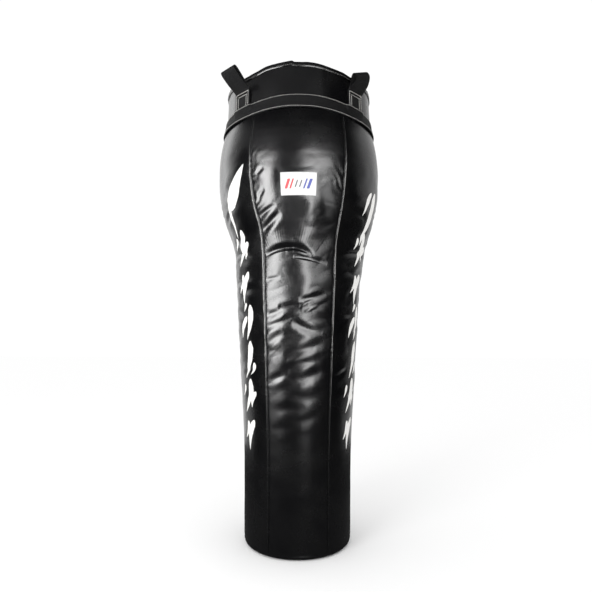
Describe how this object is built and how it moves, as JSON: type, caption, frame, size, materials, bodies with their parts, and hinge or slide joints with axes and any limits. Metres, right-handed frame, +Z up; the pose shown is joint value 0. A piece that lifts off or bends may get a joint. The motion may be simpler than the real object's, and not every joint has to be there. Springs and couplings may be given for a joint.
{
  "type": "angle heavy bag",
  "caption": "Tall black leather punching bag, broad at the shoulders and narrow at the foot, with a webbing band, webbing hanging loops and a zipped lid.",
  "frame": {"origin": "middle of the flat foot's underside", "axes": "+Z up along the bag's axis, -Y towards the front panel with the label, +X to the viewer's right"},
  "size_m": [0.428, 0.4278, 1.1991],
  "materials": {
    "black_leather": "glossy coated leather with a fine grain",
    "black_webbing": "woven polyester webbing",
    "nylon_cloth": "plain woven lining",
    "closed_cell_foam": "matt foam",
    "textile_scrap": "packed shredded cloth",
    "zip_tape": "woven tape",
    "zip_acetal": "moulded acetal",
    "zip_metal": "black enamelled zinc",
    "white_label": "white coated cloth"
  },
  "bodies": {
    "bag": {"front_panel": "black_leather", "front_right_panel": "black_leather", "rear_right_panel": "black_leather", "rear_panel": "black_leather", "rear_left_panel": "black_leather", "front_left_panel": "black_leather", "base_disc": "black_leather", "collar": "black_leather", "rim_binding": "black_leather", "lid_left_half": "black_leather", "lid_right_half": "black_leather", "front_left_strap_tail": "black_webbing", "front_right_strap_tail": "black_webbing", "rear_right_strap_tail": "black_webbing", "rear_left_strap_tail": "black_webbing", "seam_band": "black_webbing", "nylon_liner": "nylon_cloth", "foam_sleeve": "closed_cell_foam", "base_pad": "closed_cell_foam", "top_pad": "closed_cell_foam", "textile_fill": "textile_scrap", "zip_left_tape": "zip_tape", "zip_right_tape": "zip_tape", "zip_left_teeth": "zip_acetal", "zip_right_teeth": "zip_acetal", "zip_front_stop": "zip_acetal", "zip_rear_stop": "zip_acetal", "front_label": "white_label"},
    "front_left_loop": {"front_left_strap_loop": "black_webbing"},
    "front_right_loop": {"front_right_strap_loop": "black_webbing"},
    "rear_right_loop": {"rear_right_strap_loop": "black_webbing"},
    "rear_left_loop": {"rear_left_strap_loop": "black_webbing"},
    "slider": {"zip_slider": "zip_metal"},
    "pull": {"zip_pull": "zip_metal"}
  },
  "joints": [
    {"name": "front_left_loop_flex", "type": "hinge", "parent": "bag", "child": "front_left_loop", "pos_m": [-0.13923, -0.13923, 1.154], "axis": [0.7071, -0.7071, 0], "range_deg": [-40, 100], "stiffness_Nm_per_rad": 0.05},
    {"name": "front_right_loop_flex", "type": "hinge", "parent": "bag", "child": "front_right_loop", "pos_m": [0.13923, -0.13923, 1.154], "axis": [0.7071, 0.7071, 0], "range_deg": [-40, 100], "stiffness_Nm_per_rad": 0.05},
    {"name": "rear_right_loop_flex", "type": "hinge", "parent": "bag", "child": "rear_right_loop", "pos_m": [0.13923, 0.13923, 1.154], "axis": [-0.7071, 0.7071, 0], "range_deg": [-40, 100], "stiffness_Nm_per_rad": 0.05},
    {"name": "rear_left_loop_flex", "type": "hinge", "parent": "bag", "child": "rear_left_loop", "pos_m": [-0.13923, 0.13923, 1.154], "axis": [-0.7071, -0.7071, 0], "range_deg": [-40, 100], "stiffness_Nm_per_rad": 0.05},
    {"name": "zip_slide", "type": "slide", "parent": "bag", "child": "slider", "axis": [0, -1, 0], "range_m": [0, 0.2754]},
    {"name": "pull_swing", "type": "hinge", "parent": "slider", "child": "pull", "pos_m": [0, 0.1377, 1.1865], "axis": [-1, 0, 0], "range_deg": [0, 170]}
  ]
}
